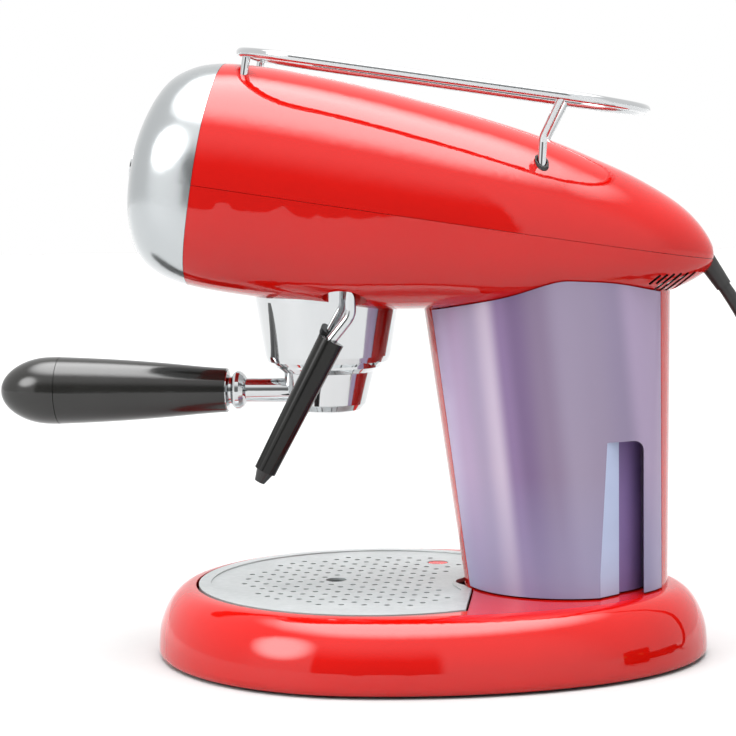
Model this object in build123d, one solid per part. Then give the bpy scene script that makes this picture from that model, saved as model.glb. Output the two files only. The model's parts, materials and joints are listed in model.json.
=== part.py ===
from build123d import *
import math
import os

# Espresso machine on an oval base: a bullet-shaped head on a column, a removable water tank set into the
# column's side, a brewing group with a bayonet filter holder, a drip tray, a swivelling steam wand and a
# cup rail.
# Millimetres, +Z up. The front faces -Y, the tank and the steam wand are on +X, the base stands on z = 0.

# ---- driving dimensions -----------------------------------------------------------------------------
# Base: a half circle in front and a half ellipse behind, joined at the tray's centre line.
TRAY_Y = 12.0
BASE_RADIUS = 110.5
BASE_TAIL = 165.0
BASE_TOP = 35.0
BASE_EDGE_WIDTH = 18.5
BASE_EDGE_LOW = 5.0
SHELL_BOTTOM = 1.5
WALL = 2.5

# Column: round at the foot, longer from front to back at the top.
FOOT_Y = 107.0
FOOT_RADIUS = 50.5
COLUMN_TOP = 200.0
COLUMN_TOP_Y = 96.0
COLUMN_TOP_HALF_X = 45.2
COLUMN_TOP_HALF_Y = 63.0
COLUMN_EDGE_X = 18.0
BULKHEAD_X = -14.0

# Drip tray, grille and float.
TRAY_RADIUS = 90.0
WELL_RADIUS = 91.5
WELL_FLOOR = 10.0
COLUMN_NOTCH = 52.0
TRAY_END = 61.0
GRILLE_THICK = 2.0
HOLE_PITCH_Y = 11.0
HOLE_PITCH_X = 6.35
HOLE_RADIUS = 1.5
FLOAT_X, FLOAT_Y = -51.0, 39.0
FLOAT_TOP = 34.6

# Head: stations along its axis, in a frame tilted down towards the back.
HEAD_Y = 3.0
HEAD_Z = 223.6
HEAD_TILT = math.radians(8.9)
CAP_SEAM = -73.5
UPPER_FULLNESS, LOWER_FULLNESS = 2.05, 3.35
# (distance along the axis, top height, bottom height, half width)
HEAD_STATIONS = [
    (-111.0, 2.5, -7.5, 7.0),
    (-110.6, 9.0, -12.5, 14.0),
    (-109.4, 20.5, -21.5, 27.0),
    (-107.2, 31.5, -30.0, 36.5),
    (-104.2, 40.0, -36.5, 42.5),
    (-100.0, 47.8, -41.8, 47.0),
    (-94.0, 53.6, -45.9, 50.6),
    (-86.0, 57.9, -48.8, 53.5),
    (-73.5, 60.9, -50.7, 55.8),
    (-50.0, 61.8, -51.4, 57.2),
    (-20.0, 60.5, -51.0, 57.6),
    (20.0, 56.8, -48.2, 57.0),
    (60.0, 51.7, -41.6, 55.0),
    (100.0, 44.0, -33.0, 49.8),
    (125.0, 37.2, -27.6, 44.0),
    (143.0, 31.0, -23.6, 37.6),
    (156.0, 25.2, -20.0, 30.8),
    (165.0, 19.6, -15.6, 24.0),
    (172.0, 13.4, -10.6, 16.8),
    (176.4, 8.0, -6.4, 10.4),
    (178.6, 3.0, -2.6, 4.4),
]

# Brewing group, on a vertical axis.
GROUP_Y = -11.5
COLLAR_TOP = 183.0
COLLAR_BOTTOM = 145.0
HANDLE_Z = 131.5
BOILER_LOW, BOILER_HIGH = 201.0, 250.0

# Cup rail.
RAIL_HEIGHT = 67.0
RAIL_TUBE = 2.3
POST_RADIUS = 2.0
FRONT_POST = (23.0, -60.6)
REAR_POST_X, REAR_POST_Y = 36.0, 96.0

# Steam wand and knob.
WAND_X, WAND_Y, BALL_Z = 42.0, 4.8, 193.0
BALL_RADIUS = 6.0
POCKET_X, POCKET_Y, POCKET_TOP = 41.5, 1.8, 189.3
POCKET_HALF_X, POCKET_HALF_Y = 6.5, 11.0
KNOB_S, KNOB_H = -35.0, -18.0

# Water tank.
TANK_FLOOR = 35.8
TANK_WALL = 2.5
GRIP_FRONT, GRIP_BACK, GRIP_TOP, GRIP_DEPTH, GRIP_ROUND = 124.0, 145.0, 110.0, 9.0, 5.0
DOCK_Y, DOCK_Z = 98.0, 46.0

# Push buttons on the front cap: (x, depth of the button's face along the head's axis).
BUTTONS = {"left": (-21.0, -109.5), "middle": (0.0, -110.5), "right": (21.0, -109.5)}
BUTTON_H = 4.0
BUTTON_RADIUS = 8.5

# Power cord: leaves the tail of the head, hangs to the table and ends in a coil behind the base.
CORD_RADIUS = 3.25
COIL_X, COIL_Y = 42.0, 300.0
COIL_INNER, COIL_OUTER, COIL_HEIGHT = 25.5, 45.5, 13.0
CORD_ROUTE = [
    (0.0, 184.9, 182.5),
    (0.0, 193.8, 169.3),
    (1.0, 207.5, 141.0),
    (3.0, 216.0, 99.0),
    (4.0, 220.5, 57.0),
    (3.0, 230.0, 22.5),
    (1.0, 250.0, 4.4),
    (0.0, 283.0, 3.3),
]

HEAD = Plane(
    origin=(0, HEAD_Y, HEAD_Z),
    x_dir=(1, 0, 0),
    z_dir=(0, math.sin(HEAD_TILT), math.cos(HEAD_TILT)),
)


# ---- helpers ----------------------------------------------------------------------------------------
def save(name, *shapes):
    """Writes one node; several shapes become separate solids of it."""
    solids = [solid for shape in shapes for solid in shape.solids()]
    node = solids[0] if len(solids) == 1 else Compound(solids)
    export_step(node, os.path.join("parts", name + ".step"))


def block(low, high):
    """A box from its lowest corner to its highest."""
    size = [b - a for a, b in zip(low, high)]
    middle = [(a + b) / 2 for a, b in zip(low, high)]
    return Pos(*middle) * Box(*size)


def rod(start, end, radius):
    """A round bar between two points."""
    start, end = Vector(start), Vector(end)
    along = end - start
    return Plane(origin=(start + end) / 2, z_dir=along) * Cylinder(radius, along.length)


def turned(profile, x=0.0, y=0.0):
    """A solid of revolution about a vertical axis, from (radius, z) corners."""
    corners = [(radius, 0, z) for radius, z in profile]
    face = make_face(Polyline(*corners, close=True))
    return Pos(x, y, 0) * revolve(face, Axis.Z, 360)


def disc(radius, low, high, x=0.0, y=0.0):
    """An upright cylinder between two heights."""
    return Pos(x, y, (low + high) / 2) * Cylinder(radius, high - low)


def tube(route, outer, bends):
    """A round bar swept along straight runs joined by tangent arcs."""
    line = FilletPolyline(*route, radius=bends)
    start = Plane(origin=line @ 0, z_dir=line % 0)
    return sweep(start * Circle(outer), path=line)


def squircle(half_x, half_y, fullness, count=24):
    """Points of a closed superellipse about the origin."""
    points = []
    for i in range(count):
        turn = 2 * math.pi * i / count
        c, s = math.cos(turn), math.sin(turn)
        px = math.copysign(abs(c) ** (2 / fullness) * half_x, c)
        py = math.copysign(abs(s) ** (2 / fullness) * half_y, s)
        points.append((px, py))
    return points


# ---- large forms that several pieces share ------------------------------------------------------------
def base_outline(z, inset):
    """The base's outline at one height, moved inwards by inset."""
    radius, tail = BASE_RADIUS - inset, BASE_TAIL - inset
    points = []
    for i in range(36):
        turn = 2 * math.pi * i / 36
        reach = tail if math.sin(turn) > 0 else radius
        points.append((radius * math.cos(turn), TRAY_Y + reach * math.sin(turn), z))
    return Wire([Spline(*points, periodic=True).edge()])


def base_solid(inset, low):
    """The domed base: a quarter-ellipse edge under a flat top."""
    rise = BASE_TOP - BASE_EDGE_LOW
    wires = [base_outline(low, 1.2 + inset), base_outline(low + 1.5, 0.2 + inset)]
    for degrees in range(0, 91, 15):
        angle = math.radians(degrees)
        edge = BASE_EDGE_WIDTH * (1 - math.cos(angle))
        wires.append(base_outline(BASE_EDGE_LOW + (rise - inset) * math.sin(angle), edge + inset))
    return Solid.make_loft(wires)


def column_solid(inset):
    """The column's outline, straight from the foot to the top."""
    foot = squircle(FOOT_RADIUS - inset, FOOT_RADIUS - inset, 2.0)
    top = squircle(COLUMN_TOP_HALF_X - inset, COLUMN_TOP_HALF_Y - inset, 2.0)
    low = Wire([Spline(*[(x, FOOT_Y + y, BASE_TOP) for x, y in foot], periodic=True).edge()])
    high = Wire([Spline(*[(x, COLUMN_TOP_Y + y, COLUMN_TOP) for x, y in top], periodic=True).edge()])
    return Solid.make_loft([low, high], ruled=True)


def head_section(s, top, bottom, half_width, lower_fullness):
    """One closed section of the head: a rounded upper half and a boxier lower half."""
    upper = squircle(half_width, top, UPPER_FULLNESS)
    lower = squircle(half_width, -bottom, lower_fullness)
    points = [high if high[1] > 0 else low for high, low in zip(upper, lower)]
    return Wire([Spline(*[(x, s, h) for x, h in points], periodic=True).edge()])


def head_solid(inset):
    """The whole head as one closed form, moved inwards by inset (outwards if negative)."""
    first, last = HEAD_STATIONS[0][0], HEAD_STATIONS[-1][0]
    wires = []
    for s, top, bottom, half_width in HEAD_STATIONS:
        if min(top, -bottom, half_width) - inset < 2.0:
            continue
        end = last if s > 0 else first
        shifted = s * (1 - inset / abs(end))
        fade = min(1.0, (s - first) / 40, (last - s) / 60)
        fullness = 2.15 + (LOWER_FULLNESS - 2.15) * fade
        wires.append(head_section(shifted, top - inset, bottom + inset, half_width - inset, fullness))
    return HEAD.location * Solid.make_loft(wires)


def in_head(low, high):
    """A box given in the head's own frame: x, distance along the axis, height above the seam."""
    return HEAD.location * block(low, high)


def head_place(x, s, h):
    """A point of the head's frame in the machine's frame."""
    return HEAD.from_local_coords(Vector(x, s, h))


head_outer = head_solid(0.0)
head_inner = head_solid(WALL)
head_clear = head_solid(-0.5)
column_outer = column_solid(0.0)
FAR = 400.0


# ---- base --------------------------------------------------------------------------------------------
def tray_plan(radius, notch, end, low, high):
    """A round plate cut off straight at the back, with a bite where the column's foot stands."""
    plate = disc(radius, low, high, 0, TRAY_Y) - disc(notch, low - 1, high + 1, 0, FOOT_Y)
    return plate - block((-FAR, end, low - 1), (FAR, FAR, high + 1))


def base_shell():
    outer = base_solid(0.0, SHELL_BOTTOM)
    room = base_solid(3.0, SHELL_BOTTOM - 1.0)
    well_end = TRAY_END + 1.2
    well_top = BASE_TOP + 5
    well_outside = tray_plan(WELL_RADIUS + 2.0, FOOT_RADIUS - 2.5, well_end + 2.0, WELL_FLOOR - 2, well_top)
    well_inside = tray_plan(WELL_RADIUS, FOOT_RADIUS + 0.2, well_end, WELL_FLOOR, well_top)
    return outer - (room - well_outside) - well_inside


def base_plate():
    plate = base_solid(3.6, SHELL_BOTTOM) & block((-FAR, -FAR, SHELL_BOTTOM), (FAR, FAR, SHELL_BOTTOM + 2.0))
    return plate


def rubber_feet():
    places = [(0, -80), (-80, 0), (80, 0), (-58, 120), (58, 120)]
    return [disc(9.0, 0, SHELL_BOTTOM, x, y) for x, y in places]


def column_bolts():
    """Heads of the bolts that hold the column, under the base's top."""
    return [disc(4.0, 27.9, 31.9, x, y) for x, y in [(-30, 84), (-30, 130), (14, 72), (14, 142)]]


# ---- column and what it holds --------------------------------------------------------------------------
def column_shell():
    shell = column_outer - column_solid(WALL) - head_outer
    shell = shell & block((-FAR, -FAR, BASE_TOP), (COLUMN_EDGE_X, FAR, COLUMN_TOP))
    return shell.solids().sort_by(SortBy.VOLUME)[-1]


def column_bulkhead():
    plate = column_solid(WALL + 0.2) & block((BULKHEAD_X, 0, BASE_TOP), (BULKHEAD_X + 2, FAR, 168))
    return plate - rod((BULKHEAD_X - 5, DOCK_Y, DOCK_Z), (BULKHEAD_X + 5, DOCK_Y, DOCK_Z), 7.0)


def tank_dock():
    outside = rod((-22, DOCK_Y, DOCK_Z), (BULKHEAD_X, DOCK_Y, DOCK_Z), 9.0)
    bore = rod((-20, DOCK_Y, DOCK_Z), (BULKHEAD_X + 1, DOCK_Y, DOCK_Z), 6.4)
    outlet = rod((-23, DOCK_Y, DOCK_Z), (-19, DOCK_Y, DOCK_Z), 2.0)
    return outside - bore - outlet


PUMP_X, PUMP_Y = -30.0, 98.0


def pump():
    profile = [(0, 60), (7.5, 60), (7.5, 72), (13.6, 72), (13.6, 116), (7.5, 116), (7.5, 132), (3.5, 132),
               (3.5, 140), (0, 140)]
    return turned(profile, PUMP_X, PUMP_Y)


def pump_mounts():
    rings = []
    for low in (63.0, 122.0):
        ring = disc(12.0, low, low + 6, PUMP_X, PUMP_Y) - disc(7.5, low - 1, low + 7, PUMP_X, PUMP_Y)
        rings.append(ring)
    return rings


def suction_hose():
    return tube([(-22, DOCK_Y, DOCK_Z), (PUMP_X, DOCK_Y, DOCK_Z), (PUMP_X, DOCK_Y, 60)], 3.0, 5.0)


def pressure_hose():
    route = [(PUMP_X, PUMP_Y, 140), (PUMP_X, PUMP_Y, 196), (-16, 60, 226), (-8, 14, 262),
             (-8, GROUP_Y, 268), (-8, GROUP_Y, BOILER_HIGH)]
    return tube(route, 2.5, [12, 12, 12, 8])


# ---- drip tray -----------------------------------------------------------------------------------------
def drip_tray():
    cup = tray_plan(86.5, 56.5, TRAY_END - 3.5, WELL_FLOOR + 1, 31.3)
    hollow = tray_plan(84.5, 58.5, TRAY_END - 5.5, WELL_FLOOR + 3, 40)
    rim = tray_plan(TRAY_RADIUS, COLUMN_NOTCH + 1.8, TRAY_END - 2.0, 31.3, 33.3)
    guide = disc(7.2, WELL_FLOOR + 2.5, 26, FLOAT_X, FLOAT_Y)
    guide = guide - disc(5.6, WELL_FLOOR + 3, 27, FLOAT_X, FLOAT_Y)
    return cup + rim - hollow + guide


def grille_holes():
    """Small round holes in staggered rows, between the front edge and an arc in front of the column."""
    places = []
    for row in range(-10, 11):
        x = row * HOLE_PITCH_X
        for step in range(-13, 14):
            y = TRAY_Y + step * HOLE_PITCH_Y + (HOLE_PITCH_Y / 2 if row % 2 else 0)
            if math.hypot(x, y - TRAY_Y) > 68 or math.hypot(x, y - FOOT_Y) < 65 or y > TRAY_END - 10:
                continue
            if math.hypot(x, y + 9) < 9 or math.hypot(x - FLOAT_X, y - FLOAT_Y) < 9:
                continue
            places.append((x, y))
    return places


def drip_grille():
    plate = tray_plan(TRAY_RADIUS, COLUMN_NOTCH, TRAY_END, 33.4, 33.4 + GRILLE_THICK)
    dish = tray_plan(TRAY_RADIUS - 6, COLUMN_NOTCH + 5, TRAY_END - 5, 34.8, 40)
    plate = plate - dish
    centres = [Location((x, y, 34.4)) for x, y in grille_holes()]
    drills = [place * Cylinder(HOLE_RADIUS, 6) for place in centres]
    plate = plate - drills
    plate = plate - disc(5.25, 30, 40, 0, -9)
    plate = plate - disc(5.5, 30, 40, FLOAT_X, FLOAT_Y)
    return plate - disc(13, 30, 40, 4, 65)


def tray_float():
    return disc(5.0, WELL_FLOOR + 3.2, FLOAT_TOP, FLOAT_X, FLOAT_Y)


# ---- head ----------------------------------------------------------------------------------------------
def rail_line():
    """The cup rail's centre line in the head's frame: wider at the back, with round ends."""
    plan = [(-40, -66), (40, -66), (50, 135), (-50, 135)]
    corners = [(x, s, RAIL_HEIGHT) for x, s in plan]
    return FilletPolyline(*corners, radius=[36, 36, 42, 42], close=True)


def cup_rail():
    line = rail_line()
    return HEAD.location * sweep(Plane(origin=line @ 0, z_dir=line % 0) * Circle(RAIL_TUBE), path=line)


def front_post(side):
    x, s = FRONT_POST
    return rod(head_place(side * x, s, 50), head_place(side * x, s, 66), POST_RADIUS)


def rear_post(side):
    top = head_place(side * 47.9, 95.0, RAIL_HEIGHT)
    route = [(side * REAR_POST_X, REAR_POST_Y, 230), (side * REAR_POST_X, REAR_POST_Y + 1.5, 256), top]
    return tube(route, POST_RADIUS, 8.0)


def rail_washer(side):
    layer = head_solid(-1.0) - head_outer
    x, y = side * REAR_POST_X, REAR_POST_Y + 0.8
    return layer & (disc(3.3, 225, 260, x, y) - disc(POST_RADIUS + 0.5, 224, 261, x, y))


def head_wall():
    return head_outer - head_inner


def head_upper_shell(wall):
    shell = wall & in_head((-FAR, CAP_SEAM + 0.1, 0.1), (FAR, FAR, FAR))
    for side in (-1, 1):
        x, s = FRONT_POST
        shell = shell - rod(head_place(side * x, s, 40), head_place(side * x, s, 70), 2.1)
        shell = shell - disc(2.6, 225, 250, side * REAR_POST_X, REAR_POST_Y + 0.8)
    return shell - rod(CORD_HOLE[0], CORD_HOLE[1], 5.2)


def vent_slots():
    """Slanted slots in the underside of the tail: two short ones, then longer ones that wrap round it."""
    slots = []
    for side in (-1, 1):
        for i in range(6):
            s, h = 153.6 + 3.35 * i, -10.6 + 0.7 * i
            length = 7.0 if i < 2 else 24.0
            slab = Rot(48, 0, 0) * Pos(0, -length / 2, 0) * Box(40, length, 1.1)
            slots.append(HEAD.location * Pos(side * 28, s, h) * slab)
    return slots


def head_lower_shell(wall):
    shell = wall & in_head((-FAR, CAP_SEAM + 0.1, -FAR), (FAR, FAR, -0.1))
    shell = shell - disc(37.2, 150, 200, 0, GROUP_Y)
    shell = shell - pocket(1.4, 165, POCKET_TOP) - disc(8.4, POCKET_TOP - 1, 203, WAND_X, WAND_Y)
    shell = shell - block((-40, 72, 150), (-18, 132, 200))
    knob = head_place(-50, KNOB_S, KNOB_H)
    shell = shell - rod((-80, knob.Y, knob.Z), (-40, knob.Y, knob.Z), 3.6)
    shell = shell - rod(CORD_HOLE[0], CORD_HOLE[1], 5.2)
    return shell - vent_slots()


CORD_HOLE = ((0, 171.4, 202.4), (0, 186, 181))


def front_cap(wall):
    cap = wall & in_head((-FAR, -FAR, -FAR), (FAR, CAP_SEAM - 0.1, FAR))
    for x, _ in BUTTONS.values():
        hole = Pos(x, -105, BUTTON_H) * Rot(90, 0, 0) * Cylinder(BUTTON_RADIUS + 0.35, 20)
        cap = cap - HEAD.location * hole
    return cap


def push_button(x, face):
    cap = Pos(x, face + 2.0, BUTTON_H) * Rot(90, 0, 0) * Cylinder(BUTTON_RADIUS, 4.0)
    stem = Pos(x, (face + 4.0 - 97.0) / 2, BUTTON_H) * Rot(90, 0, 0) * Cylinder(3.0, -97.0 - face - 4.0)
    return HEAD.location * (cap + stem)


def button_switches():
    return [in_head((x - 6, -93.8, BUTTON_H - 6), (x + 6, -84, BUTTON_H + 6)) for x, _ in BUTTONS.values()]


def head_chassis():
    plate = in_head((-36, -64, -34), (36, 45, -32)) - disc(26, 150, 220, 0, GROUP_Y)
    return plate - disc(14.0, 150, 220, WAND_X, WAND_Y - 1.5)


def boiler():
    profile = [(0, BOILER_LOW), (28, BOILER_LOW), (32, BOILER_LOW + 4), (32, BOILER_HIGH - 6),
               (27, BOILER_HIGH), (0, BOILER_HIGH)]
    return turned(profile, 0, GROUP_Y)


def heating_element():
    return Pos(0, GROUP_Y, BOILER_LOW + 14) * Torus(35.6, 3.2)


def thermostats():
    return [disc(6.5, BOILER_HIGH, BOILER_HIGH + 6, x, GROUP_Y + y) for x, y in [(8, 12), (10, -12)]]


def steam_valve():
    knob = head_place(-50, KNOB_S, KNOB_H)
    body = block((-49.5, knob.Y - 8, knob.Z - 9), (-37, knob.Y + 8, knob.Z + 9))
    return body - rod((-50, knob.Y, knob.Z), (-41, knob.Y, knob.Z), 3.06)


def steam_pipe():
    knob = head_place(-50, KNOB_S, KNOB_H)
    route = [(-42, knob.Y, knob.Z + 9), (-42, knob.Y, 255), (-20, -40, 265), (20, -24, 265),
             (WAND_X, 0, 250), (WAND_X, WAND_Y, 201)]
    return tube(route, 2.0, [10, 10, 10, 10])


def control_board():
    board = in_head((-26, 52, -22), (26, 112, -20.4))
    relay = in_head((-20, 60, -20.4), (0, 82, -6))
    terminals = in_head((4, 90, -20.4), (22, 104, -8))
    return board + relay + terminals


def pocket(grow, low, high):
    """The oval pocket under the head that the wand rises into."""
    oval = Plane(origin=(POCKET_X, POCKET_Y, low)) * Ellipse(POCKET_HALF_X + grow, POCKET_HALF_Y + grow)
    return extrude(oval, high - low)


def wand_socket():
    """The cup that holds the wand's ball, and the pocket's lining below it."""
    lining = (pocket(1.3, 165, POCKET_TOP) & head_outer) - pocket(0.0, 160, POCKET_TOP - 1.6)
    lining = lining - disc(37.5, 140, COLLAR_TOP + 0.3, 0, GROUP_Y)
    cup = disc(8.2, POCKET_TOP, 201, WAND_X, WAND_Y) + lining
    cup = cup - Pos(WAND_X, WAND_Y, BALL_Z) * Sphere(BALL_RADIUS + 0.08)
    return cup - disc(5.0, 180, 191, WAND_X, WAND_Y) - disc(1.2, 195, 205, WAND_X, WAND_Y)


# ---- brewing group ---------------------------------------------------------------------------------------
def group_collar():
    outside = [(30.4, COLLAR_TOP), (37.0, COLLAR_TOP), (36.3, 177), (31.7, 149.5), (30.6, 146.6),
               (28.3, COLLAR_BOTTOM), (27.3, COLLAR_BOTTOM), (27.3, 147.0), (30.4, 147.0)]
    collar = turned(outside, 0, GROUP_Y)
    for turn in (50, 230):
        slot = Rot(0, 0, turn) * block((20, -6.5, 140), (30.4, 6.5, 148))
        collar = collar - Pos(0, GROUP_Y, 0) * slot
    return collar


def brew_head():
    profile = [(0, 158.6), (30.2, 158.6), (30.2, 172), (24, 172), (24, BOILER_LOW), (0, BOILER_LOW)]
    return turned(profile, 0, GROUP_Y)


def group_gasket():
    return disc(29.8, 154.7, 158.6, 0, GROUP_Y) - disc(24.2, 154, 159, 0, GROUP_Y)


def shower_screen():
    screen = disc(23.8, 157.2, 158.6, 0, GROUP_Y)
    holes = []
    for ring, count in [(7, 8), (13, 14), (19, 20)]:
        for i in range(count):
            turn = 2 * math.pi * i / count
            holes.append(disc(0.9, 156, 160, ring * math.cos(turn), GROUP_Y + ring * math.sin(turn)))
    return screen - holes


def screen_screw():
    return disc(4.0, 155.4, 157.2, 0, GROUP_Y)


def portafilter_body():
    profile = [(0, 120.6), (12, 120.6), (16.5, 122), (18.9, 125), (23, 141), (26.6, 143.6), (26.6, 153.4),
               (0, 153.4)]
    outside = turned(profile, 0, GROUP_Y)
    neck = rod((0, GROUP_Y - 15, HANDLE_Z), (0, -52, HANDLE_Z), 6.1)
    body = outside + neck
    for turn in (0, 180):
        ear = disc(29.7, 147.3, 150.5) - disc(26, 146, 152)
        ear = ear & (Rot(0, 0, turn) * block((20, -6, 140), (35, 6, 160)))
        body = body + Pos(0, GROUP_Y, 0) * ear
    body = body - disc(24.6, 144.3, 160, 0, GROUP_Y) - disc(18.6, 129.0, 145, 0, GROUP_Y)
    body = body - disc(14.0, 124.0, 130, 0, GROUP_Y)
    return body - disc(6.0, 118, 130, 0, GROUP_Y)


def outlet_insert():
    return disc(6.0, 121.6, 124.0, 0, GROUP_Y) - disc(3.0, 120, 126, 0, GROUP_Y)


def filter_basket():
    profile = [(0, 134), (18.0, 134), (18.0, 144.7), (24.1, 147.0), (24.1, 153.4), (26.4, 153.4),
               (26.4, 154.2), (23.3, 154.2), (23.3, 147.6), (17.2, 145.3), (17.2, 134.8), (0, 134.8)]
    return turned(profile, 0, GROUP_Y)


def basket_spring():
    return Pos(0, GROUP_Y, 148) * Torus(24.35, 0.22)


def ferrule():
    profile = [(0, 0), (6.1, 0), (6.1, -1), (8.0, -2.2), (9.6, -4.2), (9.8, -6.0), (9.0, -7.5), (7.2, -8.5),
               (7.2, -9.5), (10.2, -10.5), (10.2, -11), (0, -11)]
    corners = [(radius, -52.0 + along, 0) for radius, along in profile]
    face = make_face(Polyline(*corners, close=True))
    return Pos(0, 0, HANDLE_Z) * revolve(face, Axis.Y, 360)


def handle_solid():
    """The grip's full form: a slow swelling that ends in a rounded butt."""
    swelling = [(11.1, -63), (13.2, -88), (15.6, -118), (17.0, -147), (15.4, -165), (0, -180)]
    outline = Spline(*[(radius, y, 0) for radius, y in swelling], tangents=[(0.05, -1, 0), (-1, 0, 0)])
    closing = Polyline((0, -180, 0), (0, -63, 0), (11.1, -63, 0))
    face = make_face([outline.edge()] + list(closing.edges()))
    return Pos(0, 0, HANDLE_Z) * revolve(face, Axis.Y, 360)


# ---- steam wand ------------------------------------------------------------------------------------------
SLEEVE_TOP = (42.8, -4.7, 159.7)
SLEEVE_END = (45.0, -37.6, 96.5)


def wand_ball():
    return Pos(WAND_X, WAND_Y, BALL_Z) * Sphere(BALL_RADIUS) - disc(2.7, 180, 191, WAND_X, WAND_Y)


def wand_tube():
    route = [(WAND_X, WAND_Y, 191.0), (WAND_X, WAND_Y, 171.5), SLEEVE_TOP]
    return tube(route, 2.7, 9.0)


def along_wand(distance):
    """A point on the sleeve's axis, that far beyond its upper end."""
    start, end = Vector(*SLEEVE_TOP), Vector(*SLEEVE_END)
    return start + (end - start).normalized() * distance


def wand_sleeve():
    length = (Vector(*SLEEVE_END) - Vector(*SLEEVE_TOP)).length
    axis = Plane(origin=SLEEVE_TOP, z_dir=Vector(*SLEEVE_END) - Vector(*SLEEVE_TOP))
    return axis * Pos(0, 0, length / 2) * Cone(6.6, 5.4, length) - wand_tube()


def wand_nozzle():
    length = (Vector(*SLEEVE_END) - Vector(*SLEEVE_TOP)).length
    axis = Plane(origin=SLEEVE_TOP, z_dir=Vector(*SLEEVE_END) - Vector(*SLEEVE_TOP))
    body = axis * Pos(0, 0, length + 3.0) * Cone(4.4, 2.6, 6.0)
    return body - axis * Pos(0, 0, length + 4.0) * Cylinder(0.8, 6.0)


# ---- steam knob ------------------------------------------------------------------------------------------
def steam_knob():
    knob = head_place(-50, KNOB_S, KNOB_H)
    body = rod((-80, knob.Y, knob.Z), (-59.5, knob.Y, knob.Z), 16.0)
    grooves = []
    for i in range(12):
        turn = 2 * math.pi * i / 12
        y, z = knob.Y + 17.5 * math.cos(turn), knob.Z + 17.5 * math.sin(turn)
        grooves.append(rod((-82, y, z), (-57, y, z), 3.0))
    return body - grooves - rod((-72, knob.Y, knob.Z), (-59, knob.Y, knob.Z), 3.0)


def knob_spindle():
    knob = head_place(-50, KNOB_S, KNOB_H)
    return rod((-72, knob.Y, knob.Z), (-41.5, knob.Y, knob.Z), 3.0)


# ---- water tank ------------------------------------------------------------------------------------------
def grip_recess(grow):
    """Space cut into the tank's side for fingers: open below, rounded at the top, slanted in front."""
    front, back, top = GRIP_FRONT - grow, GRIP_BACK + grow, GRIP_TOP + grow
    bend = GRIP_ROUND + grow
    slot = block((0, front, 0), (80, back, top - bend)) + block((0, front + bend, 0), (80, back - bend, top))
    for y in (front + bend, back - bend):
        slot = slot + rod((0, y, top - bend), (80, y, top - bend), bend)
    slant = [(47, front), (36, front + 9), (0, front + 9), (0, front - 5), (47, front - 5)]
    wedge = extrude(make_face(Polyline(*[(x, y, 0) for x, y in slant], close=True)), 150, dir=(0, 0, 1))
    return slot - wedge - column_solid(GRIP_DEPTH + grow)


def column_opening(inset, inner_x):
    """A prism along X, no wider than the opening between the column's edges, so that the tank slides out."""
    foot, top_x = FOOT_RADIUS - inset, COLUMN_TOP_HALF_X - inset
    foot_half = math.sqrt(foot ** 2 - COLUMN_EDGE_X ** 2)
    top_half = (COLUMN_TOP_HALF_Y - inset) * math.sqrt(1 - (COLUMN_EDGE_X / top_x) ** 2)
    corners = [
        (inner_x, FOOT_Y - foot_half, BASE_TOP),
        (inner_x, FOOT_Y + foot_half, BASE_TOP),
        (inner_x, COLUMN_TOP_Y + top_half, COLUMN_TOP),
        (inner_x, COLUMN_TOP_Y - top_half, COLUMN_TOP),
    ]
    return extrude(make_face(Polyline(*corners, close=True)), COLUMN_EDGE_X + 5 - inner_x, dir=(1, 0, 0))


def tank_form(flush_inset, inner_inset, inner_x):
    """The tank's outline: flush with the column outside it and set inside the column's shell."""
    flush_x = COLUMN_EDGE_X + 0.6 + flush_inset
    outside = column_solid(flush_inset) & block((flush_x, -FAR, 0), (FAR, FAR, FAR))
    inside = column_opening(inner_inset + 0.4, inner_x) & column_solid(inner_inset)
    return outside + inside


def water_tank():
    body = tank_form(0.0, WALL + 0.7, BULKHEAD_X + 2.6) & block((-FAR, -FAR, TANK_FLOOR), (FAR, FAR, FAR))
    body = body - head_clear
    body = body.solids().sort_by(SortBy.VOLUME)[-1]
    hollow = tank_form(TANK_WALL, WALL + 0.7 + TANK_WALL, BULKHEAD_X + 2.6 + TANK_WALL)
    hollow = hollow & block((-FAR, -FAR, TANK_FLOOR + 3.0), (FAR, FAR, FAR))
    body = body - (hollow - grip_recess(TANK_WALL)) - grip_recess(0.0)
    return body - rod((BULKHEAD_X, DOCK_Y, DOCK_Z), (-5, DOCK_Y, DOCK_Z), 4.0)


def tank_spigot():
    """The tank's outlet, which plugs sideways into the dock."""
    pipe = rod((-19, DOCK_Y, DOCK_Z), (-11.4, DOCK_Y, DOCK_Z), 6.0)
    barrel = rod((-11.4, DOCK_Y, DOCK_Z), (-5.0, DOCK_Y, DOCK_Z), 4.0)
    return pipe + barrel - rod((-20, DOCK_Y, DOCK_Z), (-4, DOCK_Y, DOCK_Z), 2.0)


# ---- power cord -----------------------------------------------------------------------------------------
def coil_solid():
    ring = disc(COIL_OUTER, 0, COIL_HEIGHT, COIL_X, COIL_Y)
    return ring - disc(COIL_INNER, -1, COIL_HEIGHT + 1, COIL_X, COIL_Y)


def bend_radii(route):
    """Each arc as large as its two runs allow."""
    radii = []
    for before, here, after in zip(route, route[1:], route[2:]):
        arriving, leaving = Vector(*here) - Vector(*before), Vector(*after) - Vector(*here)
        half_turn = math.radians(arriving.get_angle(leaving)) / 2
        radii.append(0.45 * min(arriving.length, leaving.length) / math.tan(half_turn))
    return radii


def power_cord():
    radii = bend_radii(CORD_ROUTE)
    line = FilletPolyline(*CORD_ROUTE, radius=radii)
    start = Plane(origin=line @ 0, z_dir=line % 0)
    cord = sweep(start * Circle(CORD_RADIUS), path=line)
    return cord - disc(COIL_OUTER, -1, COIL_HEIGHT + 1, COIL_X, COIL_Y)


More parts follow.
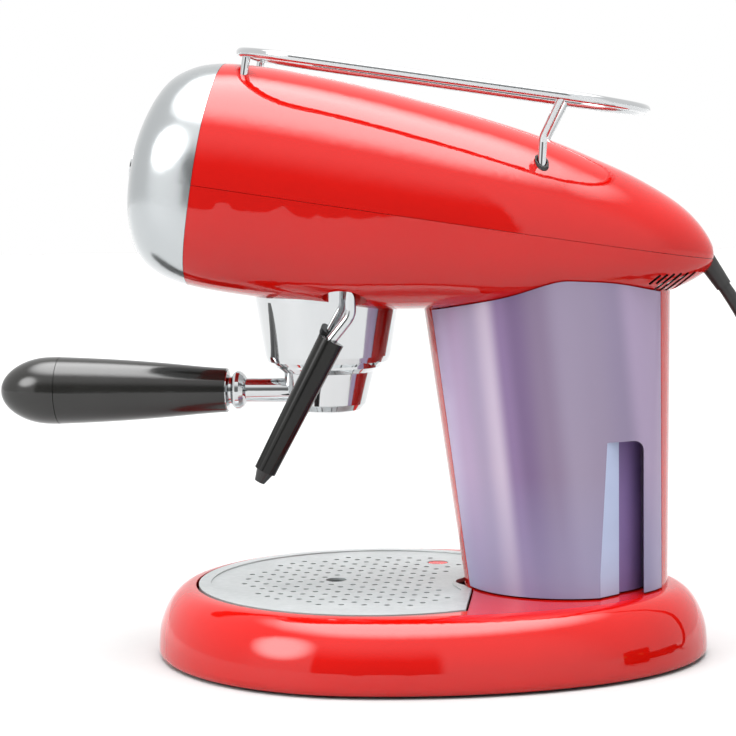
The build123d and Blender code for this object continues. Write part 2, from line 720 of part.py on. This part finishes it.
def strain_relief():
    start = Vector(*CORD_ROUTE[0])
    along = Vector(*CORD_ROUTE[1]) - start
    axis = Plane(origin=start, z_dir=along * -1)
    return axis * Pos(0, 0, 10) * Cone(3.9, 4.9, 20)


PLUG_X = COIL_X + 42.0
PLUG_Z = 13.0


def plug_body():
    """A moulded plug lying on its side beside the coil, with its pins towards the machine."""
    body = block((PLUG_X - 18, 226, 0.3), (PLUG_X + 18, 250, 26))
    body = fillet(body.edges(), 4.0)
    boot = Plane(origin=(PLUG_X, 250, PLUG_Z), z_dir=(0, 1, 0)) * Pos(0, 0, 11) * Cone(6.5, 4.2, 22)
    return body + boot


def plug_pins():
    return [rod((PLUG_X + x, 207, PLUG_Z), (PLUG_X + x, 226, PLUG_Z), 2.4) for x in (-9.5, 9.5)]


def cord_tail():
    """The short stretch from the coil to the plug's boot."""
    tail = rod((PLUG_X, 272, PLUG_Z), (PLUG_X, 292, PLUG_Z), CORD_RADIUS)
    return tail - disc(COIL_OUTER, -1, COIL_HEIGHT + 9, COIL_X, COIL_Y)


# ---- everything, one file a node ---------------------------------------------------------------------
def main():
    os.makedirs("parts", exist_ok=True)
    save("base_shell", base_shell())
    save("base_plate", base_plate())
    save("rubber_feet", *rubber_feet())
    save("column_bolts", *column_bolts())
    save("column_shell", column_shell())
    save("column_bulkhead", column_bulkhead())
    save("tank_dock", tank_dock())
    save("pump", pump())
    save("pump_mounts", *pump_mounts())
    save("suction_hose", suction_hose())
    save("pressure_hose", pressure_hose())
    save("drip_tray", drip_tray())
    save("drip_grille", drip_grille())
    save("tray_float", tray_float())

    wall = head_wall()
    save("head_upper_shell", head_upper_shell(wall))
    save("head_lower_shell", head_lower_shell(wall))
    save("front_cap", front_cap(wall))
    for name, (x, face) in BUTTONS.items():
        save(f"button_{name}", push_button(x, face))
    save("button_switches", *button_switches())
    save("head_chassis", head_chassis())
    save("boiler", boiler())
    save("heating_element", heating_element())
    save("thermostats", *thermostats())
    save("steam_valve", steam_valve())
    save("steam_pipe", steam_pipe())
    save("control_board", control_board())
    save("wand_socket", wand_socket())

    rail = cup_rail()
    save("cup_rail", rail)
    save("rail_posts_front", *[front_post(side) - rail for side in (-1, 1)])
    save("rail_posts_rear", *[rear_post(side) - rail - head_inner for side in (-1, 1)])
    save("rail_washers", *[rail_washer(side) for side in (-1, 1)])

    save("group_collar", group_collar())
    save("brew_head", brew_head())
    save("group_gasket", group_gasket())
    save("shower_screen", shower_screen())
    save("screen_screw", screen_screw())
    save("portafilter_body", portafilter_body())
    save("outlet_insert", outlet_insert())
    save("filter_basket", filter_basket())
    save("basket_spring", basket_spring())
    save("portafilter_ferrule", ferrule())
    grip = handle_solid()
    save("portafilter_handle", grip & block((-50, -149, 0), (50, 0, 200)))
    save("handle_end_cap", grip & block((-50, -200, 0), (50, -149.3, 200)))

    save("wand_ball", wand_ball())
    save("wand_tube", wand_tube())
    save("wand_sleeve", wand_sleeve())
    save("wand_nozzle", wand_nozzle())
    save("steam_knob", steam_knob())
    save("knob_spindle", knob_spindle())

    save("water_tank", water_tank())
    save("tank_spigot", tank_spigot())

    save("strain_relief", strain_relief())
    save("power_cord", power_cord())
    save("cord_coil", coil_solid())
    save("cord_tail", cord_tail())
    save("plug_body", plug_body())
    save("plug_pins", *plug_pins())


main()
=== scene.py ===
"""Espresso machine: the looks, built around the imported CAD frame. Metres, +Z up, front towards -Y."""

import bpy
import bmesh
import json
import math
from mathutils import Matrix, Vector


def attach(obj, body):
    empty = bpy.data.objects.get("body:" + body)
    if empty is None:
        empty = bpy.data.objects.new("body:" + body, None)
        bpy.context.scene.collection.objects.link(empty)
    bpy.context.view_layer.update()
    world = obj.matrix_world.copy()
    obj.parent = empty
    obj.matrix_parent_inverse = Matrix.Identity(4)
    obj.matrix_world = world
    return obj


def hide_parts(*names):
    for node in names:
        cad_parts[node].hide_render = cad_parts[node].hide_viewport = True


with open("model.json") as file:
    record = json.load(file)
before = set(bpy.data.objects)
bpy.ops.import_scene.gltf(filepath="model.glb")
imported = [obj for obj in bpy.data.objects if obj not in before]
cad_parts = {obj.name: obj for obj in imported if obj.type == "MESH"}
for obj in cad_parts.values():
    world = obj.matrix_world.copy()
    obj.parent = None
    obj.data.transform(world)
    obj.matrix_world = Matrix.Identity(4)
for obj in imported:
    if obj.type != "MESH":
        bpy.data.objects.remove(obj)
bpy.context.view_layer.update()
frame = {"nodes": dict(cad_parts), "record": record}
nodes = frame["nodes"]

MM = 0.001
BODY = "machine"

# ---- camera, first ------------------------------------------------------------------------------------
VIEW_TARGET = Vector((0.0, 0.0085, 0.1425))
VIEW_DISTANCE = 1.065
VIEW_TURN = math.radians(6.0)      # past the side view, towards the back
EYE_HEIGHT = 0.236
VIEW_ROLL = math.radians(0.7)
LENS = 104.2


def make_camera():
    eye = VIEW_TARGET + Vector((math.cos(VIEW_TURN), math.sin(VIEW_TURN), 0)) * VIEW_DISTANCE
    eye.z = EYE_HEIGHT
    forward = (VIEW_TARGET - eye).normalized()
    right = forward.cross(Vector((0, 0, 1))).normalized()
    up = right.cross(forward)
    rolled = right * math.cos(VIEW_ROLL) - up * math.sin(VIEW_ROLL)
    up = rolled.cross(forward)
    data = bpy.data.cameras.new("camera")
    data.lens, data.sensor_width = LENS, 36.0
    data.clip_start, data.clip_end = 0.05, 50.0
    camera = bpy.data.objects.new("camera", data)
    bpy.context.scene.collection.objects.link(camera)
    turn = Matrix((rolled, up, -forward)).transposed()
    camera.matrix_world = Matrix.Translation(eye) @ turn.to_4x4()
    bpy.context.scene.camera = camera


make_camera()


# ---- materials ----------------------------------------------------------------------------------------
def new_material(name):
    """A new material, its node tree and its shader."""
    material = bpy.data.materials.new(name)
    material.use_nodes = True
    tree = material.node_tree
    shader = tree.nodes["Principled BSDF"]
    return material, tree, shader


def noise_of(tree, scale, detail=4.0, stretch=(1, 1, 1)):
    """Noise in object space, optionally stretched, as a number from 0 to 1."""
    place = tree.nodes.new("ShaderNodeTexCoord")
    mapping = tree.nodes.new("ShaderNodeMapping")
    mapping.inputs["Scale"].default_value = stretch
    texture = tree.nodes.new("ShaderNodeTexNoise")
    texture.inputs["Scale"].default_value = scale
    texture.inputs["Detail"].default_value = detail
    tree.links.new(place.outputs["Object"], mapping.inputs["Vector"])
    tree.links.new(mapping.outputs["Vector"], texture.inputs["Vector"])
    return texture.outputs["Fac"]


def spread(tree, source, low, high):
    """Maps the middle of a noise onto low..high."""
    ramp = tree.nodes.new("ShaderNodeMapRange")
    ramp.inputs["From Min"].default_value, ramp.inputs["From Max"].default_value = 0.3, 0.7
    ramp.inputs["To Min"].default_value, ramp.inputs["To Max"].default_value = low, high
    tree.links.new(source, ramp.inputs["Value"])
    return ramp.outputs["Result"]


def two_tones(tree, source, first, second):
    """A colour that wanders between two tones."""
    mix = tree.nodes.new("ShaderNodeMix")
    mix.data_type = "RGBA"
    mix.inputs["A"].default_value = (*first, 1)
    mix.inputs["B"].default_value = (*second, 1)
    tree.links.new(spread(tree, source, 0.0, 1.0), mix.inputs["Factor"])
    return mix.outputs["Result"]


def add_bump(tree, shader, source, strength, distance):
    bump = tree.nodes.new("ShaderNodeBump")
    bump.inputs["Strength"].default_value = strength
    bump.inputs["Distance"].default_value = distance
    tree.links.new(source, bump.inputs["Height"])
    tree.links.new(bump.outputs["Normal"], shader.inputs["Normal"])


def surface(name, first, second, rough=(0.3, 0.4), tone_scale=40, rough_scale=60, bump=None,
            stretch=(1, 1, 1), **sockets):
    """Two close tones, wandering roughness and, where asked, a fine bump (scale, strength, metres)."""
    material, tree, shader = new_material(name)
    tree.links.new(two_tones(tree, noise_of(tree, tone_scale), first, second), shader.inputs["Base Color"])
    rough_noise = noise_of(tree, rough_scale, 5.0, stretch)
    tree.links.new(spread(tree, rough_noise, *rough), shader.inputs["Roughness"])
    if bump:
        scale, strength, distance = bump
        add_bump(tree, shader, noise_of(tree, scale, 6.0, stretch), strength, distance)
    for socket, value in sockets.items():
        shader.inputs[socket.replace("_", " ")].default_value = value
    return material


RED = surface("red_enamel", (0.38, 0.0025, 0.001), (0.41, 0.0035, 0.0015), rough=(0.5, 0.6), tone_scale=9,
              rough_scale=14, Specular_IOR_Level=0.0, Coat_Weight=1.0, Coat_Roughness=0.025, Coat_IOR=1.48,
              Coat_Tint=(1.0, 0.96, 0.94, 1.0))
CHROME = surface("chrome", (0.53, 0.545, 0.555), (0.57, 0.58, 0.585), rough=(0.025, 0.06), tone_scale=20,
                 rough_scale=30, Metallic=1.0)
CAP_CHROME = surface("cap_chrome", (0.44, 0.465, 0.475), (0.48, 0.50, 0.51), rough=(0.15, 0.20),
                     tone_scale=20, rough_scale=30, Metallic=1.0)
SLEEVE_BLACK = surface("sleeve_black", (0.004, 0.004, 0.004), (0.007, 0.007, 0.006), rough=(0.10, 0.15),
                       rough_scale=35, bump=(500, 0.02, 0.00002), Specular_IOR_Level=0.3)
GRILLE = surface("grille_metal", (0.37, 0.395, 0.40), (0.43, 0.455, 0.46), rough=(0.30, 0.42), tone_scale=50,
                 rough_scale=300, bump=(2600, 0.12, 0.00003), Metallic=0.45)
TRAY = surface("tray_plastic", (0.10, 0.105, 0.11), (0.13, 0.135, 0.14), rough=(0.45, 0.6),
               bump=(1800, 0.2, 0.00004))
BLACK_GLOSS = surface("black_gloss", (0.007, 0.007, 0.006), (0.012, 0.012, 0.011), rough=(0.12, 0.18),
                      rough_scale=35, bump=(500, 0.02, 0.00002), Specular_IOR_Level=0.55)
BLACK_SATIN = surface("black_satin", (0.009, 0.009, 0.009), (0.016, 0.016, 0.016), rough=(0.22, 0.32),
                      bump=(1500, 0.08, 0.00003))
RUBBER = surface("rubber", (0.014, 0.014, 0.014), (0.024, 0.024, 0.024), rough=(0.6, 0.8),
                 bump=(1200, 0.3, 0.00005))
CORD = surface("cord_sheath", (0.008, 0.008, 0.008), (0.014, 0.014, 0.014), rough=(0.38, 0.5),
               bump=(1400, 0.15, 0.00004))
BRASS = surface("brass", (0.62, 0.43, 0.15), (0.72, 0.52, 0.22), rough=(0.18, 0.34), rough_scale=80,
                Metallic=1.0, bump=(700, 0.1, 0.00003))
ALUMINIUM = surface("aluminium", (0.62, 0.63, 0.64), (0.72, 0.73, 0.74), rough=(0.32, 0.5), rough_scale=120,
                    Metallic=1.0, bump=(900, 0.2, 0.00004))
STEEL = surface("steel", (0.56, 0.57, 0.58), (0.64, 0.65, 0.66), rough=(0.16, 0.30), rough_scale=200,
                Metallic=1.0, stretch=(1, 1, 14), bump=(600, 0.08, 0.00002))
BOARD = surface("board_green", (0.01, 0.09, 0.035), (0.015, 0.13, 0.05), rough=(0.25, 0.4),
                bump=(900, 0.2, 0.00005))
FLOAT_RED = surface("float_red", (0.45, 0.006, 0.006), (0.55, 0.01, 0.01), rough=(0.2, 0.3),
                    bump=(600, 0.05, 0.00002))
SILICONE = surface("silicone", (0.62, 0.63, 0.61), (0.70, 0.71, 0.69), rough=(0.35, 0.5),
                   bump=(700, 0.1, 0.00003),
                   Subsurface_Weight=0.3)

# Across the tank from front to back: soft upright bands of painted reflection and painted light through the
# milky violet plastic, (share, colour).
TANK_PAINTED_LIGHT_BANDS = [
    (0.00, (0.38, 0.31, 0.46)), (0.07, (0.33, 0.25, 0.38)), (0.16, (0.27, 0.22, 0.32)),
    (0.24, (0.37, 0.31, 0.40)), (0.31, (0.16, 0.105, 0.21)), (0.38, (0.12, 0.078, 0.16)),
    (0.50, (0.16, 0.12, 0.19)), (0.62, (0.21, 0.175, 0.25)), (0.75, (0.20, 0.165, 0.24)),
    (0.88, (0.19, 0.155, 0.24)), (0.97, (0.28, 0.22, 0.33)),
]
PAINTED_BANDS_START, PAINTED_BANDS_WIDTH, PAINTED_BANDS_LEAN = 0.053, 0.097, 0.105
PAINTED_BANDS_HEIGHT = 0.1    # the painted bands start at their start value at this height


def tank_material():
    """Milky plastic with painted reflections and painted light through it in soft bands that lean with the
    column, bluer near the foot.
    """
    material, tree, shader = new_material("tank_plastic")
    place = tree.nodes.new("ShaderNodeTexCoord")
    apart = tree.nodes.new("ShaderNodeSeparateXYZ")
    tree.links.new(place.outputs["Object"], apart.inputs["Vector"])
    lean = tree.nodes.new("ShaderNodeMath")
    lean.operation = "MULTIPLY_ADD"
    lean.inputs[1].default_value = PAINTED_BANDS_LEAN
    tree.links.new(apart.outputs["Z"], lean.inputs[0])
    tree.links.new(apart.outputs["Y"], lean.inputs[2])
    share = tree.nodes.new("ShaderNodeMapRange")
    first = PAINTED_BANDS_START + PAINTED_BANDS_HEIGHT * PAINTED_BANDS_LEAN
    share.inputs["From Min"].default_value = first
    share.inputs["From Max"].default_value = first + PAINTED_BANDS_WIDTH
    tree.links.new(lean.outputs["Value"], share.inputs["Value"])
    # the painted reflection and light bands across the tank
    ramp = tree.nodes.new("ShaderNodeValToRGB")
    ramp.color_ramp.interpolation = "EASE"
    stops = ramp.color_ramp.elements
    while len(stops) < len(TANK_PAINTED_LIGHT_BANDS):
        stops.new(0.5)
    for stop, (position, colour) in zip(stops, TANK_PAINTED_LIGHT_BANDS):
        stop.position, stop.color = position, (*colour, 1)
    tree.links.new(share.outputs["Result"], ramp.inputs["Fac"])
    low = tree.nodes.new("ShaderNodeMapRange")
    low.inputs["From Min"].default_value, low.inputs["From Max"].default_value = 0.04, 0.095
    low.inputs["To Min"].default_value, low.inputs["To Max"].default_value = 0.6, 0.0
    tree.links.new(apart.outputs["Z"], low.inputs["Value"])
    mix = tree.nodes.new("ShaderNodeMix")
    mix.data_type = "RGBA"
    mix.inputs["B"].default_value = (0.20, 0.21, 0.34, 1)
    tree.links.new(low.outputs["Result"], mix.inputs["Factor"])
    tree.links.new(ramp.outputs["Color"], mix.inputs["A"])
    tree.links.new(mix.outputs["Result"], shader.inputs["Base Color"])
    tree.links.new(spread(tree, noise_of(tree, 40), 0.30, 0.38), shader.inputs["Roughness"])
    shader.inputs["Specular IOR Level"].default_value = 0.25
    shader.inputs["Coat Weight"].default_value = 0.2
    shader.inputs["Coat Roughness"].default_value = 0.12
    return material


TANK = tank_material()

BY_SLOT = {
    "red_enamel": RED, "chrome": CHROME, "tank_plastic": TANK, "grille_metal": GRILLE, "tray_plastic": TRAY,
    "black_gloss": BLACK_GLOSS, "black_satin": BLACK_SATIN, "rubber": RUBBER, "cord_black": CORD,
    "brass": BRASS, "aluminium": ALUMINIUM, "steel": STEEL, "board_green": BOARD, "float_red": FLOAT_RED,
    "hose_clear": SILICONE,
}
BY_NODE = {"front_cap": CAP_CHROME, "wand_sleeve": SLEEVE_BLACK}


def dress_cad_nodes():
    """Every carried-over CAD node gets its own material, or the material of its slot."""
    for part in frame["record"]["subparts"]:
        node = nodes[part["node"]]
        node.data.materials.clear()
        node.data.materials.append(BY_NODE.get(part["node"], BY_SLOT[part["material_slot"]]))


dress_cad_nodes()


# ---- mesh helpers -------------------------------------------------------------------------------------
def finish_piece(piece, material, body, replaced=()):
    """Material, slot, body and the CAD nodes that the piece stands for."""
    piece.data.materials.clear()
    piece.data.materials.append(material)
    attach(piece, body)
    if replaced:
        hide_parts(*replaced)
    return piece


def mesh_object(name, points, faces, smooth=True):
    mesh = bpy.data.meshes.new(name)
    mesh.from_pydata([tuple(p) for p in points], [], faces)
    mesh.validate()
    bm = bmesh.new()
    bm.from_mesh(mesh)
    bmesh.ops.recalc_face_normals(bm, faces=bm.faces)
    bm.to_mesh(mesh)
    bm.free()
    mesh.polygons.foreach_set("use_smooth", [smooth] * len(mesh.polygons))
    piece = bpy.data.objects.new(name, mesh)
    bpy.context.scene.collection.objects.link(piece)
    return piece


# ---- water tank ---------------------------------------------------------------------------------------
GRIP_FRONT, GRIP_FLOOR, GRIP_BACK, GRIP_TOP = 0.1232, 0.1345, 0.1458, 0.1108
GRIP_NEAR_X = 0.018         # nothing of the recess lies nearer the middle plane
BELOW_SURFACE = 0.985       # faces further in than this share of the outline belong to the recess
# Painted light for the finger recess: its floor a copy of the tank plastic lightened for light through the
# plastic, its wall a lighter bluish copy for its lit side.
RECESS_FLOOR_PAINTED_LIGHT = surface("tank_recess_floor_painted_light", (0.17, 0.115, 0.26), (0.19, 0.125, 0.28), rough=(0.35, 0.42),
                       Specular_IOR_Level=0.25)
RECESS_WALL_PAINTED_LIGHT = surface("tank_recess_wall_painted_light", (0.33, 0.38, 0.53), (0.36, 0.41, 0.57), rough=(0.35, 0.42),
                      Specular_IOR_Level=0.25)


def inside_column(point):
    """How far out a point lies in the oval outline of the column, which widens upwards: 1 on it."""
    rise = (point.z / MM - 35.0) / 165.0
    half_x, half_y, middle = 50.5 - 5.3 * rise, 50.5 + 12.5 * rise, 107.0 - 11.0 * rise
    return (point.x / MM / half_x) ** 2 + ((point.y / MM - middle) / half_y) ** 2


def make_tank():
    """The tank's own form with the finger recess in deeper and lighter tones of painted light: light through
    the plastic on its floor, the lit side on its wall.
    """
    piece = nodes["water_tank"].copy()
    piece.name = "water_tank_shell"
    piece.data = nodes["water_tank"].data.copy()
    bpy.context.scene.collection.objects.link(piece)
    finish_piece(piece, TANK, "water_tank", ["water_tank"])
    piece.data.materials.append(RECESS_FLOOR_PAINTED_LIGHT)
    piece.data.materials.append(RECESS_WALL_PAINTED_LIGHT)
    for face in piece.data.polygons:
        centre = face.center
        if not (GRIP_FRONT < centre.y < GRIP_BACK and centre.z < GRIP_TOP and centre.x > GRIP_NEAR_X):
            continue
        if inside_column(centre) < BELOW_SURFACE and abs(face.normal.z) < 0.5:
            # recess faces get the painted light copies of the plastic
            face.material_index = 2 if centre.y < GRIP_FLOOR and face.normal.y > 0.7 else 1


make_tank()


# ---- inside the tail ----------------------------------------------------------------------------------
SHADE_PLATE_HALF = 0.6


def make_vent_shade_plate():
    """A dark upright plate, no part of the machine, put in the tail for shade in the vents: it keeps light
    from passing between the two sides' vents.
    """
    corners = [(144, 181.9), (150, 182.6), (160, 185.4), (169, 189.9), (169, 198.0), (144, 208.0)]
    points = [Vector((x, y, z)) * MM for x in (-SHADE_PLATE_HALF, SHADE_PLATE_HALF) for y, z in corners]
    count = len(corners)
    rim = [(i, i + count, (i + 1) % count + count, (i + 1) % count) for i in range(count)]
    faces = [tuple(range(count)), tuple(range(2 * count - 1, count - 1, -1))] + rim
    finish_piece(mesh_object("vent_shade_plate", points, faces, smooth=False), BLACK_SATIN, BODY)


make_vent_shade_plate()


# ---- power cord ---------------------------------------------------------------------------------------
CORD_RADIUS = 3.25 * MM
COIL_CENTRE = Vector((42.0, 300.0, 0)) * MM
HANGING = [
    (0.0, 184.9, 182.5),
    (0.0, 193.8, 169.3),
    (1.0, 207.5, 141.0),
    (3.0, 216.0, 99.0),
    (4.0, 220.5, 57.0),
    (3.0, 230.0, 22.5),
    (1.0, 250.0, 4.4),
    (0.0, 283.0, 3.3),
]
TURNS, TURN_POINTS = 4.5, 14
COIL_WIDE, COIL_NARROW = 42.0 * MM, 29.5 * MM
PLUG_TOP = 272.0


def cord_route():
    """The hanging stretch, two layers of turns inwards and outwards, and the short tail to the plug."""
    points = [Vector(p) * MM for p in HANGING]
    total = int(TURNS * TURN_POINTS)
    for i in range(1, total):
        share = i / total
        inward = 1 - abs(2 * share - 1)
        radius = COIL_WIDE + (COIL_NARROW - COIL_WIDE) * inward
        climb = min(1.0, max(0.0, (share - 0.44) / 0.12))
        height = CORD_RADIUS * (1.02 + 1.96 * climb * climb * (3 - 2 * climb))
        angle = math.pi - 2 * math.pi * TURNS * share
        points.append(COIL_CENTRE + Vector((radius * math.cos(angle), radius * math.sin(angle), height)))
    x = (COIL_CENTRE.x + COIL_WIDE) / MM
    points += [Vector(p) * MM for p in [(x, 296.0, 10.4), (x, 284.0, 12.4), (x, PLUG_TOP, 13.0)]]
    return points


def make_cord():
    data = bpy.data.curves.new("power_cord_line", "CURVE")
    data.dimensions = "3D"
    data.bevel_depth = CORD_RADIUS
    data.bevel_resolution = 8
    data.resolution_u = 8
    spline = data.splines.new("NURBS")
    points = cord_route()
    spline.points.add(len(points) - 1)
    for point, place in zip(spline.points, points):
        point.co = (*place, 1)
    spline.order_u = 3
    spline.use_endpoint_u = True
    cord = bpy.data.objects.new("power_cord_line", data)
    bpy.context.scene.collection.objects.link(cord)
    finish_piece(cord, CORD, BODY, ["power_cord", "cord_coil", "cord_tail"])
    return cord


cord = make_cord()


# ---- stage ----------------------------------------------------------------------------------------------
SPOT = (0.557, -0.663, 0.5)    # towards the lamp, which stands ahead of the machine on the +X side
BOX_STRENGTH = SPOT_STRENGTH = 8.0
GAP_DEPTH = 0.84               # share of the light that the dark gap takes away
GAP_TURN, GAP_SPREAD = 0.14, 0.42    # slopes of the gap's middle line and of its half width
FLOOR_HALF = 6.0


def make_floor():
    corners = [(x * FLOOR_HALF, y * FLOOR_HALF, 0) for x, y in ((-1, -1), (1, -1), (1, 1), (-1, 1))]
    floor = mesh_object("floor", corners, [(0, 1, 2, 3)])
    material = surface("floor_paper", (0.40, 0.40, 0.40), (0.42, 0.42, 0.42), rough=(0.6, 0.7), tone_scale=3,
                       Specular_IOR_Level=0.2)
    floor.data.materials.append(material)


def soft_light(name, place, aim, size, power):
    """A rectangular area light at a place, aimed at a point."""
    data = bpy.data.lights.new(name, "AREA")
    data.shape = "RECTANGLE"
    data.size, data.size_y = size
    data.energy = power
    light = bpy.data.objects.new(name, data)
    bpy.context.scene.collection.objects.link(light)
    light.location = place
    light.rotation_euler = (Vector(aim) - Vector(place)).to_track_quat("-Z", "Y").to_euler()


def sky_math(tree, operation, first, second):
    """One math node whose inputs are numbers or outputs of other nodes."""
    node = tree.nodes.new("ShaderNodeMath")
    node.operation = operation
    for socket, value in zip(node.inputs, (first, second)):
        if isinstance(value, (int, float)):
            socket.default_value = value
        else:
            tree.links.new(value, socket)
    return node.outputs["Value"]


def sky_step(tree, source, low, high, start, end):
    """A smooth step of a number from low..high to start..end."""
    node = tree.nodes.new("ShaderNodeMapRange")
    node.interpolation_type = "SMOOTHSTEP"
    for name, value in zip(("From Min", "From Max", "To Min", "To Max"), (low, high, start, end)):
        node.inputs[name].default_value = value
    tree.links.new(source, node.inputs["Value"])
    return node.outputs["Result"]


def make_world():
    """A white studio with a soft box overhead, one lamp and a dark gap between lighter panels on +X."""
    world = bpy.data.worlds.new("studio")
    world.use_nodes = True
    tree = world.node_tree
    place = tree.nodes.new("ShaderNodeTexCoord")
    apart = tree.nodes.new("ShaderNodeSeparateXYZ")
    tree.links.new(place.outputs["Generated"], apart.inputs["Vector"])
    x, y, z = (apart.outputs[name] for name in "XYZ")
    panels = sky_step(tree, x, 0.25, 0.6, 1.0, 1.35)
    box = sky_step(tree, z, 0.78, 0.96, 0.0, BOX_STRENGTH)
    towards = tree.nodes.new("ShaderNodeVectorMath")
    towards.operation = "DOT_PRODUCT"
    towards.inputs[1].default_value = SPOT
    tree.links.new(place.outputs["Generated"], towards.inputs[0])
    spot = sky_step(tree, towards.outputs["Value"], 0.945, 0.995, 0.0, SPOT_STRENGTH)
    bright = sky_math(tree, "ADD", panels, sky_math(tree, "ADD", box, spot))
    turned = sky_math(tree, "ADD", y, sky_math(tree, "MULTIPLY", x, GAP_TURN))
    aside = sky_math(tree, "ABSOLUTE", turned, 0.0)
    inside = sky_math(tree, "SUBTRACT", sky_math(tree, "MULTIPLY", x, GAP_SPREAD), aside)
    between = sky_step(tree, inside, -0.02, 0.04, 0.0, 1.0)
    below = sky_step(tree, z, 0.3, 0.7, 1.0, 0.0)
    gap = sky_math(tree, "MULTIPLY", sky_math(tree, "MULTIPLY", between, below), GAP_DEPTH)
    strength = sky_math(tree, "MULTIPLY", bright, sky_math(tree, "SUBTRACT", 1.0, gap))
    background = tree.nodes["Background"]
    background.inputs["Color"].default_value = (1, 1, 1, 1)
    tree.links.new(strength, background.inputs["Strength"])
    bpy.context.scene.world = world


make_floor()
make_world()
soft_light("ceiling_box", (0.1, 0.0, 1.6), (0, 0, 0.12), (1.2, 1.2), 1.5)
bpy.context.scene.view_settings.view_transform = "Standard"
